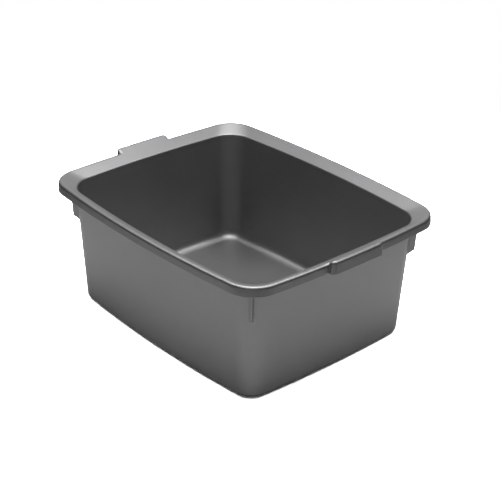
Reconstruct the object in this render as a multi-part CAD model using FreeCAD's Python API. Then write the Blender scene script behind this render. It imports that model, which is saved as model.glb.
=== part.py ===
import FreeCAD, Part
import math
import os

# Washing-up bowl: a single injection moulding in silver-grey polypropylene. Sizes are in millimetres
# and degrees. The origin is on the standing plane under the middle of the bowl, X runs along its
# length, and Z points up out of its mouth.

# Rim, at the sharp edge where the flange's top face and the skirt's outer face would meet
rim_length = 382.0
rim_width = 317.0
rim_height = 161.5
rim_corner = 37.0
end_arc = 1780.0        # radius on which the two short sides bow outwards
side_arc = 1570.0       # the same for the two long sides
rim_radius = 3.5
rim_bevel = 1.6         # inside the rim's rounding, so that its wall stays even

# Flange, which falls from the rim to the mouth, the edge where the walls begin
flange_reach = 18.0
flange_slope = 29.5
mouth_corner = 33.0
mouth_radius = 3.0

# Walls and floor
wall = 1.9
floor = 2.1
draft = 3.7             # lean of the walls, outwards to the top
inner_base_radius = 12.0
outer_base_radius = 6.5

# Skirt that hangs from the rim
skirt_drop = 13.5       # from the rim's sharp edge to the skirt's lower edge
skirt_wall = 1.7
skirt_flare = 5.0       # lean of the skirt, outwards to the bottom

# Grip tabs, where the flange and the skirt go further out in the middle of both short sides
tab_length = 78.0
tab_reach = 7.6
tab_corner = 5.5

# Lugs under the rim, one at each corner, which keep nested bowls from jamming
lug_reach = 8.0
lug_bottom = 109.0
lug_thickness = 2.4
lug_radius = 2.5

# Foot ring around the raised underside, and the gate mark in the middle of it
foot_width = 14.0
foot_height = 1.5
gate_diameter = 16.0
gate_depth = 0.5
pip_diameter = 3.0
pip_height = 0.4

# Room by which a cutting solid passes the face that it opens
clear = 5.0

UP = FreeCAD.Vector(0, 0, 1)


def sin(angle):
    return math.sin(math.radians(angle))


def cos(angle):
    return math.cos(math.radians(angle))


def tan(angle):
    return math.tan(math.radians(angle))


def outline(corner):
    """The rim's bowed rectangle as tangent arcs: (centre x, centre y, radius, start, sweep).

    Each end arc is in three parts, of which the middle one carries a grip tab.
    """
    end_x = rim_length / 2 - end_arc
    side_y = rim_width / 2 - side_arc
    to_end = end_arc - corner
    to_side = side_arc - corner
    apart = math.hypot(end_x, side_y)
    ahead = (to_end ** 2 - to_side ** 2 + apart ** 2) / (2 * apart)
    aside = math.sqrt(to_end ** 2 - ahead ** 2)
    x = end_x * (1 - ahead / apart) - side_y / apart * aside
    y = side_y * ahead / apart - end_x / apart * aside
    low = math.degrees(math.atan2(y, x - end_x))
    high = math.degrees(math.atan2(y - side_y, x))
    half = math.degrees((tab_length / 2 + clear) / end_arc)
    arcs = []
    for side, sign in ((0, 1), (180, -1)):
        arcs += [
            (sign * end_x, 0, end_arc, side - half, 2 * half),
            (sign * end_x, 0, end_arc, side + half, low - half),
            (sign * x, sign * y, corner, side + low, high - low),
            (0, sign * side_y, side_arc, side + high, 180 - 2 * high),
            (-sign * x, sign * y, corner, side + 180 - high, high - low),
            (-sign * end_x, 0, end_arc, side + 180 - low, low - half),
        ]
    return arcs


# The two outlines that carry the section. Its distances are all counted outwards from the rim's
# sharp edge, so the mouth's corners have the radius that they would reach there.
rim = outline(rim_corner)
mouth = outline(mouth_corner + flange_reach)
corner_arcs = (2, 4, 8, 10)


def flange_top(out):
    return rim_height + out * tan(flange_slope)


def flange_under(out):
    return flange_top(out) - wall / cos(flange_slope)


mouth_height = flange_top(-flange_reach)
skirt_bottom = rim_height - skirt_drop
floor_top = foot_height + floor


def skirt_out(z, inset):
    """How far out the skirt's outer face is at height z, or a face that is set in from it."""
    return (rim_height - z) * tan(skirt_flare) - inset / cos(skirt_flare)


def wall_out(z, thickness):
    """How far out the wall's inner face is at height z, or a face that lies outside it."""
    return (z - mouth_height) * tan(draft) - flange_reach + thickness / cos(draft)


def under_flange(face, offset):
    """Section point where the flange's underside meets the skirt or the wall."""
    z = rim_height
    while abs(flange_under(face(z, offset)) - z) > 1e-9:
        z = flange_under(face(z, offset))
    return face(z, offset), z


def place(arc, angle, out, z):
    """Point in space at a section point, in the upright plane at an angle round an arc."""
    x, y, radius = arc[:3]
    reach = radius + out
    return FreeCAD.Vector(x + reach * cos(angle), y + reach * sin(angle), z)


def level_edge(arc, out, z):
    """The edge that a section point draws along an arc."""
    x, y, radius, start, sweep = arc
    return Part.makeCircle(radius + out, FreeCAD.Vector(x, y, z), UP, start, start + sweep)


def band(points, first, last):
    """Faces that a straight or round stretch of the section draws round the bowl.

    The stretch is given by its two or three points and by the outlines that carry its two ends.
    """
    faces = []
    for one, other in zip(first, last):
        if one == other:
            placed = [place(one, one[3], *point) for point in points]
            stretch = Part.Arc(*placed) if len(placed) == 3 else Part.LineSegment(*placed)
            centre = FreeCAD.Vector(one[0], one[1], 0)
            faces.append(stretch.toShape().revolve(centre, UP, one[4]))
        else:
            edges = level_edge(one, *points[0]), level_edge(other, *points[-1])
            faces.append(Part.makeRuledSurface(*edges))
    return faces


def skin(corners):
    """Solid inside the skin that a section draws round the bowl, closed by a flat face at each end.

    The section is a list of its corners (out, height, radius, outline). The first one and the last
    one only give directions.
    """
    faces = []
    ends = []
    for before, corner, after in zip(corners, corners[1:], corners[2:]):
        out, z, radius, carrier = corner
        here = FreeCAD.Vector(out, z, 0)
        back = (FreeCAD.Vector(*before[:2], 0) - here).normalize()
        forth = (FreeCAD.Vector(*after[:2], 0) - here).normalize()
        half = back.getAngle(forth) / 2
        start = here + back * (radius / math.tan(half))
        middle = here + (back + forth).normalize() * (radius / math.sin(half) - radius)
        end = here + forth * (radius / math.tan(half))
        if ends:
            faces += band([ends[-1][0], start[:2]], ends[-1][1], carrier)
        if radius:
            faces += band([start[:2], middle[:2], end[:2]], carrier, carrier)
        ends += [(start[:2], carrier), (end[:2], carrier)]
    for point, carrier in (ends[0], ends[-1]):
        faces.append(Part.Face(Part.Wire([level_edge(arc, *point) for arc in carrier])))
    shell = Part.Shell(faces)
    shell.sewShape()
    return Part.Solid(shell)


def tub():
    """Floor, walls, flange and skirt in one, from the middle of the floor out and back under it."""
    base_out = wall_out(floor_top, 0)
    foot_out = wall_out(0, wall) - foot_width
    rim_out, rim_z = under_flange(skirt_out, skirt_wall)
    return skin([
        (base_out - mouth_corner, floor_top, 0, mouth),
        (base_out, floor_top, inner_base_radius, mouth),
        (-flange_reach, mouth_height, mouth_radius, mouth),
        (0, rim_height, rim_radius, rim),
        (skirt_out(skirt_bottom, 0), skirt_bottom, 0, rim),
        (skirt_out(skirt_bottom, skirt_wall), skirt_bottom, 0, rim),
        (skirt_out(rim_z - rim_bevel, skirt_wall), rim_z - rim_bevel, 0, rim),
        (rim_out - rim_bevel, flange_under(rim_out - rim_bevel), 0, rim),
        (*under_flange(wall_out, wall), 0, mouth),
        (wall_out(0, wall), 0, outer_base_radius, mouth),
        (foot_out, 0, 0, mouth),
        (foot_out - foot_height, foot_height, 0, mouth),
        (foot_out - mouth_corner, foot_height, 0, mouth),
    ])


def tab_plan(inset, z):
    """Plan of a grip tab at height z, or of one that is smaller all round by the inset."""
    grown = skirt_out(z, inset)
    corner = tab_corner + grown
    half = tab_length / 2 + grown
    x = rim[0][0]
    radius = end_arc + tab_reach + grown
    turn = math.degrees(math.asin((half - corner) / (radius - corner)))
    corner_x = x + (radius - corner) * cos(turn)
    back_x = x + end_arc - flange_reach / 2
    arcs = [
        (corner_x, corner - half, corner, -90, 90 - turn),
        (x, 0, radius, -turn, 2 * turn),
        (corner_x, half - corner, corner, turn, 90 - turn),
    ]
    sides = Part.makePolygon([
        FreeCAD.Vector(corner_x, half, z),
        FreeCAD.Vector(back_x, half, z),
        FreeCAD.Vector(back_x, -half, z),
        FreeCAD.Vector(corner_x, -half, z),
    ])
    return Part.Wire([level_edge(arc, 0, z) for arc in arcs] + sides.Edges)


def tab_block(inset, bottom, depth):
    """Block of a grip tab's plan under the flange's slope, or under one that lies deeper."""
    brim = tab_reach + clear
    top = flange_top(brim)
    block = Part.makeLoft([tab_plan(inset, bottom), tab_plan(inset, top)], True, True)
    x, y, radius, start, sweep = rim[0]
    points = [
        place(rim[0], start, -flange_reach, mouth_height - depth),
        place(rim[0], start, brim, top - depth),
        place(rim[0], start, brim, top + clear),
        place(rim[0], start, -flange_reach, top + clear),
    ]
    above = Part.Face(Part.makePolygon(points + points[:1]))
    return block.cut(above.revolve(FreeCAD.Vector(x, y, 0), UP, sweep))


def crest_edges(block, slope):
    """Edges round the top of a grip tab's block, without the one at its back."""
    edges = []
    for edge in block.Edges:
        ends = [(math.hypot(point.X - rim[0][0], point.Y) - end_arc, point.Z) for point in edge.Vertexes]
        on_slope = all(abs(z - slope(out)) < 0.01 for out, z in ends)
        if on_slope and edge.BoundBox.XMax > rim_length / 2:
            edges.append(edge)
    return edges


def tab():
    block = tab_block(0, skirt_bottom, 0)
    return block.makeFillet(rim_radius, crest_edges(block, flange_top))


def tab_hollow():
    block = tab_block(skirt_wall, skirt_bottom - clear, wall / cos(flange_slope))
    return block.makeChamfer(rim_bevel, crest_edges(block, flange_under))


def lug(base, edge):
    """Upright plate on a corner of the mouth's outline, whose top follows the flange to the rim's."""
    middle = base[3] + base[4] / 2
    offset = FreeCAD.Vector(edge[0] - base[0], edge[1] - base[1], 0)
    ahead = offset.dot(FreeCAD.Vector(cos(middle), sin(middle), 0))
    rim_out = ahead + math.sqrt(edge[2] ** 2 - offset.Length ** 2 + ahead ** 2) - base[2]
    rise = (rim_height - mouth_height) / (rim_out + flange_reach)
    root = mouth_height - wall / 2
    end_out = wall_out(root, wall) + lug_reach
    points = [
        place(base, middle, wall_out(lug_bottom, wall) + lug_reach, lug_bottom),
        place(base, middle, end_out, root + (end_out + flange_reach) * rise),
        place(base, middle, wall_out(root, wall / 2), root),
        place(base, middle, wall_out(lug_bottom, wall / 2), lug_bottom),
    ]
    across = FreeCAD.Vector(-sin(middle), cos(middle), 0) * lug_thickness
    face = Part.Face(Part.makePolygon(points + points[:1]))
    face.translate(across * -0.5)
    plate = face.extrude(across)
    tip = [edge for edge in plate.Edges if edge.CenterOfMass.distanceToPoint(points[0]) < 0.01]
    return plate.makeFillet(lug_radius, tip)


def turned(shape):
    copy = shape.copy()
    copy.rotate(FreeCAD.Vector(0, 0, 0), UP, 180)
    return copy


# The tub with its tabs and lugs, then the hollows under the tabs and the gate mark
lugs = [lug(mouth[number], rim[number]) for number in corner_arcs]
bowl = tub().fuse([tab(), turned(tab())]).cut([tab_hollow(), turned(tab_hollow())]).fuse(lugs)
gate = Part.makeCylinder(gate_diameter / 2, gate_depth, FreeCAD.Vector(0, 0, foot_height))
pip_bottom = foot_height + gate_depth - pip_height
pip = Part.makeCylinder(pip_diameter / 2, pip_height, FreeCAD.Vector(0, 0, pip_bottom))
bowl = bowl.cut(gate.cut(pip)).removeSplitter()

os.makedirs("parts", exist_ok=True)
bowl.Solids[0].exportStep("parts/bowl.step")
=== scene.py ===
import bpy
import math
import numpy as np
from mathutils import Matrix, Vector


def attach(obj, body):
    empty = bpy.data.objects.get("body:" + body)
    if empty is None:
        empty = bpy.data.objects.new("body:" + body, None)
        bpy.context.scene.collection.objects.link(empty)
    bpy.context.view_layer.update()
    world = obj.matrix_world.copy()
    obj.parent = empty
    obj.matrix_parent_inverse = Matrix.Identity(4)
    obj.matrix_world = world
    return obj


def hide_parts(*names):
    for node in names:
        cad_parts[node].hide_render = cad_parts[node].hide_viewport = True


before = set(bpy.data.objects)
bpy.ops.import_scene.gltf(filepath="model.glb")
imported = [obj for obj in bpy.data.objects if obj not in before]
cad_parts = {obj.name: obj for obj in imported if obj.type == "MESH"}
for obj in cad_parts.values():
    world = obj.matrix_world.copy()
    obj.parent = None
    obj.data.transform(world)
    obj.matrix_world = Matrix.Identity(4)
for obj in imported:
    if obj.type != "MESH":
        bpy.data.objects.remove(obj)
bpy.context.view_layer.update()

# Camera, found by fitting the rim, the mouth and the base in the photo. It looks down at the near
# corner from a few paces away, rolled a little, with its aim beside the middle of the bowl.
view_azimuth = math.radians(48.08)
view_elevation = math.radians(27.83)
view_roll = math.radians(1.19)
view_distance = 1.6671
aim_height = 0.0770
aim_right = -0.0120
aim_down = 0.0075
focal_pixels = 1364.9
frame_pixels = 500

level_right = Vector((math.cos(view_azimuth), math.sin(view_azimuth), 0))
back = Vector((
    math.sin(view_azimuth) * math.cos(view_elevation),
    -math.cos(view_azimuth) * math.cos(view_elevation),
    math.sin(view_elevation),
))
level_up = back.cross(level_right)
right = math.cos(view_roll) * level_right + math.sin(view_roll) * level_up
up = back.cross(right)
aim = Vector((0, 0, aim_height)) - aim_right * right + aim_down * up
camera_data = bpy.data.cameras.new("camera")
camera_data.sensor_width = 36
camera_data.lens = focal_pixels / frame_pixels * camera_data.sensor_width
camera_data.clip_start = 0.05
camera_data.clip_end = 50
camera = bpy.data.objects.new("camera", camera_data)
turn = Matrix((right, up, back)).transposed()
camera.matrix_world = Matrix.Translation(aim + view_distance * back) @ turn.to_4x4()
scene = bpy.context.scene
scene.collection.objects.link(camera)
scene.camera = camera
scene.view_settings.view_transform = "Standard"

# Moulding: floor, walls, sloping flange, skirt and grip tabs, injection moulded in one shot of grey
# polypropylene. Its outlines are counted at the sharp edge where the flange's top face and the
# skirt's outer face would meet, and its walls lean and thicken as the part's drawing has them.
mm = 0.001
rim_half_length = 191 * mm
rim_half_width = 158.5 * mm
rim_height = 161.5 * mm
rim_corner = 37 * mm
end_arc = 1780 * mm
side_arc = 1570 * mm
rim_radius = 3.5 * mm
flange_reach = 18 * mm
flange_slope = math.tan(math.radians(29.5))
mouth_corner = 33 * mm
mouth_radius = 3 * mm
wall = 1.9 * mm
floor_top = 3.6 * mm
draft = math.tan(math.radians(3.7))
inner_base_radius = 12 * mm
outer_base_radius = 6.5 * mm
skirt_bottom = rim_height - 13.5 * mm
skirt_wall = 1.7 * mm
skirt_flare = math.tan(math.radians(5))
lip_radius = 0.5 * mm
tab_half = 39 * mm
tab_reach = 7.6 * mm
tab_corner = 5.5 * mm
tab_root = 1.5 * mm
foot_width = 14 * mm
foot_height = 1.5 * mm
foot_radius = 0.7 * mm
gate_radius = 8 * mm
gate_depth = 0.5 * mm
pip_radius = 1.5 * mm
pip_height = 0.4 * mm
flat_margin = 0.4 * mm
flange_rise = flange_reach * flange_slope
mouth_height = rim_height - flange_rise
end_x = rim_half_length - end_arc
side_y = rim_half_width - side_arc


def arc_points(x, y, radius, first, last, steps):
    """Points of an arc without its last one, and the directions straight out of the outline.

    A negative radius is an arc that bends inwards, whose outward side is towards its centre.
    """
    angle = np.linspace(first, last, steps + 1)[:-1]
    out = np.stack((np.cos(angle), np.sin(angle)), 1)
    return np.array((x, y)) + abs(radius) * out, out * math.copysign(1, radius)


def corner_arc(corner):
    """Centre, first and last angle of the corner arc that is tangent to an end arc and a side arc.

    The centre lies at the arcs' radii less the corner's from their two centres.
    """
    to_end = end_arc - corner
    to_side = side_arc - corner
    apart = math.hypot(end_x, side_y)
    ahead = (to_end ** 2 - to_side ** 2 + apart ** 2) / (2 * apart)
    aside = math.sqrt(to_end ** 2 - ahead ** 2)
    x = end_x * (1 - ahead / apart) - side_y / apart * aside
    y = side_y * ahead / apart - end_x / apart * aside
    return x, y, math.atan2(y, x - end_x), math.atan2(y - side_y, x)


def tab_arcs(root_angle):
    """Half a grip tab's outline: front, corner, straight side and the small root beside the rim."""
    outer = end_arc + tab_reach
    turn = math.asin((tab_half - tab_corner) / (outer - tab_corner))
    corner_x = end_x + (outer - tab_corner) * math.cos(turn)
    root_x = end_x + (end_arc + tab_root) * math.cos(root_angle)
    side_x = np.linspace(corner_x, root_x, 6)[:-1]
    side = np.stack((side_x, np.full(len(side_x), tab_half)), 1)
    return [
        arc_points(end_x, 0, outer, 0, turn, 14),
        arc_points(corner_x, tab_half - tab_corner, tab_corner, turn, math.pi / 2, 10),
        (side, np.tile((0.0, 1.0), (len(side), 1))),
        arc_points(root_x, tab_half + tab_root, -tab_root, -math.pi / 2, root_angle - math.pi, 5),
    ]


def outline(corner, with_tab):
    """Points round the bowl and their outward directions, as one quarter turned and mirrored.

    The quarter runs from the middle of a short side to the middle of a long side. Every outline has
    as many points, so that the section can be carried from one to another.
    """
    x, y, low, high = corner_arc(corner)
    root_angle = math.asin((tab_half + tab_root) / (end_arc + tab_root))
    tab = tab_arcs(root_angle)
    if not with_tab:
        tab = [arc_points(end_x, 0, end_arc, 0, root_angle, sum(len(points) for points, out in tab))]
    pieces = tab + [
        arc_points(end_x, 0, end_arc, root_angle, low, 14),
        arc_points(x, y, corner, low, high, 24),
        arc_points(0, side_y, side_arc, high, math.pi / 2, 24),
        (np.array(((0, rim_half_width),)), np.array(((0.0, 1.0),))),
    ]
    whole = []
    for quarter in zip(*pieces):
        quarter = np.concatenate(quarter)
        half = np.concatenate((quarter, quarter[::-1][1:] * (-1, 1)))
        whole.append(np.concatenate((half, -half[1:-1])))
    return whole


rim, rim_out = outline(rim_corner, True)
plain_rim = outline(rim_corner, False)[0]
mouth, mouth_out = outline(mouth_corner + flange_reach, False)
count = len(rim)

# The flange is less steep round the corners, where it is wider, and its top runs on over the tabs,
# so its slope and the height of its edge are arrays with a value for each point of the outlines.
flange_run = np.linalg.norm(plain_rim - mouth + flange_reach * mouth_out, axis=1)
slope = flange_rise / flange_run
from_end = rim - np.column_stack((np.where(rim[:, 0] > 0, end_x, -end_x), np.zeros(count)))
end_distance = np.linalg.norm(from_end, axis=1)
on_tab = abs(rim[:, 1]) < tab_half + 1.01 * tab_root
ahead = (from_end * rim_out).sum(1) / end_distance
rim_slope = np.where(on_tab, flange_slope * ahead, slope)
rim_top = rim_height + np.where(on_tab, (end_distance - end_arc) * flange_slope, 0)


def section(out, height):
    """Section points: a distance out from the outline and a height, the same or not all round."""
    return np.stack(np.broadcast_arrays(out, height, rim_top)[:2], 1)


def skirt_out(height, inset):
    """How far out the skirt's outer face is, or a face that is set in from it."""
    return (rim_height - height) * skirt_flare - inset * math.hypot(1, skirt_flare)


def wall_out(height, thickness):
    """How far out the wall's inner face is, or a face that lies outside it."""
    return (height - mouth_height) * draft - flange_reach + thickness * math.hypot(1, draft)


def crest(depth, inset):
    """Where the flange's top, or a face at a depth under it, meets the skirt or a face inside it.

    The height solves height = top - depth + slope * skirt_out(height, inset).
    """
    at_zero = skirt_out(0, inset)
    height = (rim_top - depth + rim_slope * at_zero) / (1 + rim_slope * skirt_flare)
    return section(skirt_out(height, inset), height)


def mouth_edge(depth, thickness):
    """Where the flange's top, or a face at a depth under it, meets the wall's inner or outer face.

    The height solves height = mouth_height - depth + slope * (wall_out(height, thickness) + reach).
    """
    lift = thickness * math.hypot(1, draft)
    height = mouth_height + (slope * lift - depth) / (1 - slope * draft)
    return section(wall_out(height, thickness), height)


def unit(vectors):
    """The vectors in the rows, each divided by its length."""
    return vectors / np.linalg.norm(vectors, axis=1)[:, None]


def rounding(before, corner, after, radius, steps):
    """Arc that rounds a section's corner, for every point of the outlines at once.

    Its centre lies on the corner's bisector at radius / sin(half the corner's angle), and it turns
    from the one side's normal to the other's.
    """
    back, forth = unit(before - corner), unit(after - corner)
    half = np.arccos((back * forth).sum(1))[:, None] / 2
    middle, across = unit(back + forth), unit(forth - back)
    centre = corner + middle * radius / np.sin(half)
    turn = (np.pi / 2 - half) * np.linspace(-1, 1, steps + 1)[:, None, None]
    return list(centre + radius * (np.sin(turn) * across - np.cos(turn) * middle))


flange_depth = wall * math.hypot(1, flange_slope)
base_out = wall_out(floor_top, 0)
foot_out = wall_out(0, wall) - foot_width
floor_middle = section(base_out - mouth_corner, floor_top)
floor_edge = section(base_out, floor_top)
mouth_inner = mouth_edge(0, 0)
mouth_under = mouth_edge(flange_depth, wall)
rim_outer = crest(0, 0)
rim_under = crest(flange_depth, skirt_wall)
lip_outer = section(skirt_out(skirt_bottom, 0), skirt_bottom)
lip_inner = section(skirt_out(skirt_bottom, skirt_wall), skirt_bottom)
base_edge = section(wall_out(0, wall), 0)
foot_edge = section(foot_out, 0)
foot_step = section(foot_out - foot_height, foot_height)
foot_middle = section(foot_out - mouth_corner, foot_height)
up_flange = section(1, slope)
down_flange = section(-1, -rim_slope)

# The section's roundings in turn, from the floor up the wall, over the rim and back under the foot
roundings = [
    (mouth, mouth_out, rounding(floor_middle, floor_edge, mouth_inner, inner_base_radius, 14)),
    (mouth, mouth_out, rounding(floor_edge, mouth_inner, mouth_inner + up_flange, mouth_radius, 10)),
    (rim, rim_out, rounding(rim_outer + down_flange, rim_outer, lip_outer, rim_radius, 12)),
    (rim, rim_out, rounding(rim_outer, lip_outer, lip_inner, lip_radius, 4)),
    (rim, rim_out, rounding(lip_outer, lip_inner, rim_under, lip_radius, 4)),
    (rim, rim_out, rounding(lip_inner, rim_under, rim_under + down_flange, rim_radius - skirt_wall, 6)),
    (mouth, mouth_out, rounding(mouth_under + up_flange, mouth_under, base_edge, mouth_radius + wall, 8)),
    (mouth, mouth_out, rounding(mouth_under, base_edge, foot_edge, outer_base_radius, 10)),
    (mouth, mouth_out, rounding(base_edge, foot_edge, foot_step, foot_radius, 3)),
    (mouth, mouth_out, rounding(foot_edge, foot_step, foot_middle, foot_radius, 3)),
]


def between(first, last, steps):
    """Rings on the straight way between two rings, with one close to each of them.

    The close ones keep the flat faces flat beside a rounding when the mesh is shaded smooth.
    """
    length = np.linalg.norm(last - first, axis=1)[:, None]
    edge = np.clip(flat_margin / np.maximum(length, flat_margin), 0, 0.25)
    shares = [edge + (1 - 2 * edge) * step / steps for step in range(steps + 1)]
    return [first + (last - first) * share for share in shares]


def shrunk(ring, shares):
    """Rings that fill a level face, each a share of its edge."""
    return [np.column_stack((ring[:, :2] * share, ring[:, 2])) for share in shares]


def disc_ring(radius, height):
    """A round ring in the directions of the outline's points, for the gate mark."""
    return np.column_stack((unit(mouth) * radius, np.full(count, height)))


flat_steps = 4
rings = []
for points, out, places in roundings:
    made = [np.column_stack((points + out * place[:, :1], place[:, 1])) for place in places]
    if rings:
        rings += between(rings[-1], made[0], flat_steps)
    rings += made
gate_top = foot_height + gate_depth
pip_bottom = gate_top - pip_height
beside_rounding = 0.997
floor_rings = shrunk(rings[0], (0.1, 0.4, 0.7, 0.95, beside_rounding))
foot_rings = shrunk(rings[-1], (beside_rounding, 0.9, 0.6))
rings = floor_rings + rings + foot_rings
rings += [
    disc_ring(gate_radius + flat_margin, foot_height), disc_ring(gate_radius, foot_height),
    disc_ring(gate_radius, gate_top), disc_ring(gate_radius - flat_margin, gate_top),
    disc_ring(pip_radius, gate_top), disc_ring(pip_radius, pip_bottom),
]
rows = len(rings)
poles = np.array(((0, 0, floor_top), (0, 0, pip_bottom)))
vertices = np.concatenate((np.concatenate(rings), poles))
index = np.arange(rows * count).reshape(rows, count)
beside = np.roll(index, -1, 1)
quads = np.stack((index[:-1], index[1:], beside[1:], beside[:-1]), 2).reshape(-1, 4)
inner_fan = np.stack((index[0], beside[0], np.full(count, rows * count)), 1)
outer_fan = np.stack((beside[-1], index[-1], np.full(count, rows * count + 1)), 1)
moulding_mesh = bpy.data.meshes.new("moulding")
moulding_mesh.from_pydata(vertices.tolist(), [], quads.tolist() + inner_fan.tolist() + outer_fan.tolist())
moulding_mesh.shade_smooth()
moulding = bpy.data.objects.new("moulding", moulding_mesh)
scene.collection.objects.link(moulding)
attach(moulding, "root")
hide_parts("bowl")

# Lugs under the rim's four corners: upright ribs moulded on the outside of the walls, which keep
# nested bowls from jamming. Their outer edge runs parallel to the wall, their foot slopes down to it,
# and they are thickest at it.
lug_reach = 8 * mm
lug_bottom = 109 * mm
lug_foot_drop = 5 * mm
lug_edge_width = 2.0 * mm
lug_root_width = 4.2 * mm
lug_radius = 2.5 * mm
lug_bevel = 0.3 * mm
lug_arc = mouth_corner + flange_reach
lug_x, lug_y, lug_low, lug_high = corner_arc(lug_arc)
lug_angle = (lug_low + lug_high) / 2
lug_slope = float(slope.min())


def lug_outline():
    """A rib's side as distances out from the outline and heights, round at its lower outer corner.

    Its root and its top reach half the wall's thickness into the wall.
    """
    top = mouth_height - wall / 2
    foot = wall_out(lug_bottom, wall)
    head = wall_out(top, wall) + lug_reach
    turn = np.linspace(-np.pi / 2, 0, 7)
    tip = np.stack((
        foot + lug_reach - lug_radius + lug_radius * np.cos(turn),
        lug_bottom + lug_radius + lug_radius * np.sin(turn),
    ), 1)
    root = np.array(((foot - wall / 2, lug_bottom - lug_foot_drop),))
    upper = np.array(((head, top + (head + flange_reach) * lug_slope), (wall / 2 - flange_reach, top)))
    return np.concatenate((root, tip, upper))


side = lug_outline()
inward = unit(side.mean(0) - side) * lug_bevel
depth = (side[:, 0] - side[:, 0].min()) / np.ptp(side[:, 0])
half_width = (lug_root_width + (lug_edge_width - lug_root_width) * depth) / 2
layers = np.stack([
    np.column_stack((place[:, 0], across, place[:, 1]))
    for place, across in (
        (side + inward, -half_width), (side, lug_bevel - half_width),
        (side, half_width - lug_bevel), (side + inward, half_width),
    )
])
corners = len(side)
index = np.arange(layers.shape[0] * corners).reshape(-1, corners)
beside = np.roll(index, -1, 1)
lug_faces = np.stack((index[:-1], beside[:-1], beside[1:], index[1:]), 2).reshape(-1, 4).tolist()
lug_faces += [index[0][::-1].tolist(), index[-1].tolist()]
local = layers.reshape(-1, 3)
reach = lug_arc + local[:, 0]
lug_places = np.column_stack((
    lug_x + reach * math.cos(lug_angle) - local[:, 1] * math.sin(lug_angle),
    lug_y + reach * math.sin(lug_angle) + local[:, 1] * math.cos(lug_angle),
    local[:, 2],
))
vertices, faces = [], []
for mirror in ((1, 1, 1), (-1, 1, 1), (-1, -1, 1), (1, -1, 1)):
    start = len(vertices) * len(lug_places)
    step = 1 if mirror[0] * mirror[1] < 0 else -1
    faces += [[start + corner for corner in face[::step]] for face in lug_faces]
    vertices.append(lug_places * mirror)
lug_mesh = bpy.data.meshes.new("corner_lugs")
lug_mesh.from_pydata(np.concatenate(vertices).tolist(), [], faces)
lugs = bpy.data.objects.new("corner_lugs", lug_mesh)
scene.collection.objects.link(lugs)
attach(lugs, "root")

# Silver-grey polypropylene: fine metallic flake in the pigment, faint flow marks from the gate, and
# the fine even texture that the mould was spark eroded with. It is satin, a little duller in places.
flake_metallic = 0.88
satin_roughness = 0.45
pigment = (0.260, 0.260, 0.263, 1)
cloud_scale = 14
cloud_contrast = 0.07
flow_scale = 60
flow_contrast = 0.05
duller = 0.08
grain_scale = 2600
grain_strength = 0.12
grain_depth = 0.04 * mm


class Field:
    """A socket whose arithmetic adds Math nodes."""

    def __init__(self, tree, socket):
        self.tree = tree
        self.socket = socket

    def make(self, kind, settings, values, output=0):
        """Adds a node of a type, applies its settings, fills its sockets and returns an output."""
        node = self.tree.nodes.new(kind)
        for name, setting in settings.items():
            setattr(node, name, setting)
        for name, value in values.items():
            if isinstance(value, Field):
                self.tree.links.new(value.socket, node.inputs[name])
            else:
                node.inputs[name].default_value = value
        return Field(self.tree, node.outputs[output])

    def maths(self, operation, first, second):
        """Adds a Math node that works on two values, each a number or a field."""
        return self.make("ShaderNodeMath", {"operation": operation}, {0: first, 1: second})

    def __add__(self, other):
        return self.maths("ADD", self, other)

    def __mul__(self, other):
        return self.maths("MULTIPLY", self, other)

    __radd__ = __add__
    __rmul__ = __mul__

    def into(self, node, name):
        """Links this socket to a node's input."""
        self.tree.links.new(self.socket, node.inputs[name])


plastic = bpy.data.materials.new("grey_plastic")
plastic.use_nodes = True
plastic_shader = plastic.node_tree.nodes["Principled BSDF"]
plastic_shader.inputs["Metallic"].default_value = flake_metallic
start = Field(plastic.node_tree, None)
place = start.make("ShaderNodeTexCoord", {}, {}, "Object")
clouds, flow, grain = [
    start.make(
        "ShaderNodeTexNoise", {},
        {"Vector": place, "Scale": scale, "Detail": detail, "Distortion": distortion},
    )
    for scale, detail, distortion in ((cloud_scale, 3, 0), (flow_scale, 2, 1.5), (grain_scale, 2, 0))
]
shade = 1 - (cloud_contrast + flow_contrast) / 2 + cloud_contrast * clouds + flow_contrast * flow
colour = start.make(
    "ShaderNodeMix", {"data_type": "RGBA", "blend_type": "MULTIPLY"},
    {0: 1.0, 6: pigment, 7: start.make("ShaderNodeCombineColor", {}, {0: shade, 1: shade, 2: shade})}, 2,
)
colour.into(plastic_shader, "Base Color")
(satin_roughness - duller / 2 + duller * clouds).into(plastic_shader, "Roughness")
texture = start.make(
    "ShaderNodeBump", {}, {"Strength": grain_strength, "Distance": grain_depth, "Height": grain},
)
texture.into(plastic_shader, "Normal")
for piece in (moulding, lugs):
    piece.data.materials.append(plastic)

# Studio table: the bowl reflects a light grey top, which ends half a metre off with a dim room past
# it. The camera sees white paper instead, so bright that of the bowl's shadow only the deepest part,
# at its foot, is darker than white. Past the table the paper glows, so that it stays white.
table_albedo = 0.75
room_albedo = 0.08
table_edge = 0.47
table_fade = 0.10
paper_albedo = 5
glow_near = 0.35
glow_far = 0.80
ground_half = 30
ground_mesh = bpy.data.meshes.new("ground")
ground_corners = [(x * ground_half, y * ground_half, 0) for x, y in ((-1, -1), (1, -1), (1, 1), (-1, 1))]
ground_mesh.from_pydata(ground_corners, [], [(0, 1, 2, 3)])
ground = bpy.data.objects.new("ground", ground_mesh)
scene.collection.objects.link(ground)
paper = bpy.data.materials.new("ground")
paper.use_nodes = True
paper.node_tree.nodes.remove(paper.node_tree.nodes["Principled BSDF"])
start = Field(paper.node_tree, None)
distance = start.make(
    "ShaderNodeVectorMath", {"operation": "LENGTH"},
    {0: start.make("ShaderNodeTexCoord", {}, {}, "Object")}, "Value",
)
past_table = start.make(
    "ShaderNodeMapRange", {},
    {"Value": distance, "From Min": table_edge, "From Max": table_edge + table_fade},
)
far = start.make(
    "ShaderNodeMapRange", {}, {"Value": distance, "From Min": glow_near, "From Max": glow_far},
)
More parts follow.
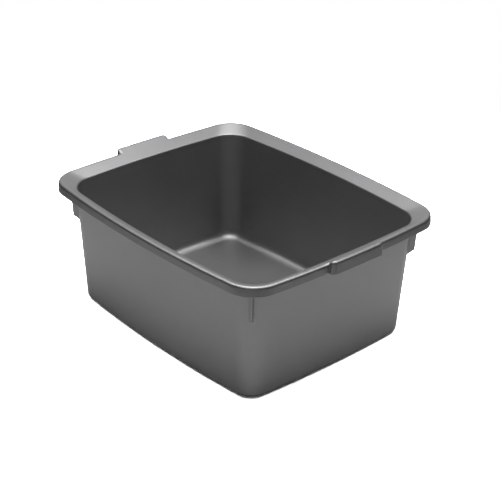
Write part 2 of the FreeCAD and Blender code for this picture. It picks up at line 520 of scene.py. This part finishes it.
table, room, white = [
    start.make("ShaderNodeBsdfDiffuse", {}, {"Color": (albedo,) * 3 + (1,)})
    for albedo in (table_albedo, room_albedo, paper_albedo)
]
glow = start.make("ShaderNodeEmission", {}, {"Strength": 1})
reflected = start.make("ShaderNodeMixShader", {}, {0: past_table, 1: table, 2: room})
seen = start.make("ShaderNodeMixShader", {}, {0: far, 1: white, 2: glow})
by_camera = start.make("ShaderNodeLightPath", {}, {}, "Is Camera Ray")
floor_shader = start.make("ShaderNodeMixShader", {}, {0: by_camera, 1: reflected, 2: seen})
floor_shader.into(paper.node_tree.nodes["Material Output"], "Surface")
ground_mesh.materials.append(paper)

# Lights: a soft box overhead, a wide pale card behind the bowl, a low one by the camera, and a pair
# of soft boxes to its left and right that draw the bright line along the rim.


def soft_box(name, azimuth, distance, height, aim_height, size, energy):
    """Rectangular area light, set up by azimuth, distance out and height, that faces the bowl.

    The azimuth is in degrees from +Y towards +X, the lengths are in metres, and the light faces a
    height on the bowl's axis. Its energy is in watts.
    """
    data = bpy.data.lights.new(name, "AREA")
    data.shape = "RECTANGLE"
    data.size, data.size_y = size
    data.energy = energy
    angle = math.radians(azimuth)
    where = Vector((distance * math.sin(angle), distance * math.cos(angle), height))
    box = bpy.data.objects.new(name, data)
    turn = (Vector((0, 0, aim_height)) - where).to_track_quat("-Z", "Y")
    box.matrix_world = Matrix.Translation(where) @ turn.to_matrix().to_4x4()
    scene.collection.objects.link(box)


soft_box("overhead", 0, 0, 1.2, 0, (0.9, 0.9), 16.5)
soft_box("backdrop", 312, 1.6, 0.75, 0.15, (3.0, 1.2), 10)
soft_box("front", 138, 1.5, 0.3, 0.08, (0.9, 0.35), 0.8)
soft_box("right_box", 40, 0.85, 1.4, 0.15, (0.3, 0.3), 5.5)
soft_box("left_box", 235, 0.9, 1.2, 0.15, (0.3, 0.3), 3)

# Room: dark but for these lights, and white where the camera looks past the floor
world = bpy.data.worlds.new("room")
scene.world = world
world.use_nodes = True
sky = world.node_tree.nodes["Background"]
sky.inputs["Color"].default_value = (1, 1, 1, 1)
start = Field(world.node_tree, None)
start.make("ShaderNodeLightPath", {}, {}, "Is Camera Ray").into(sky, "Strength")
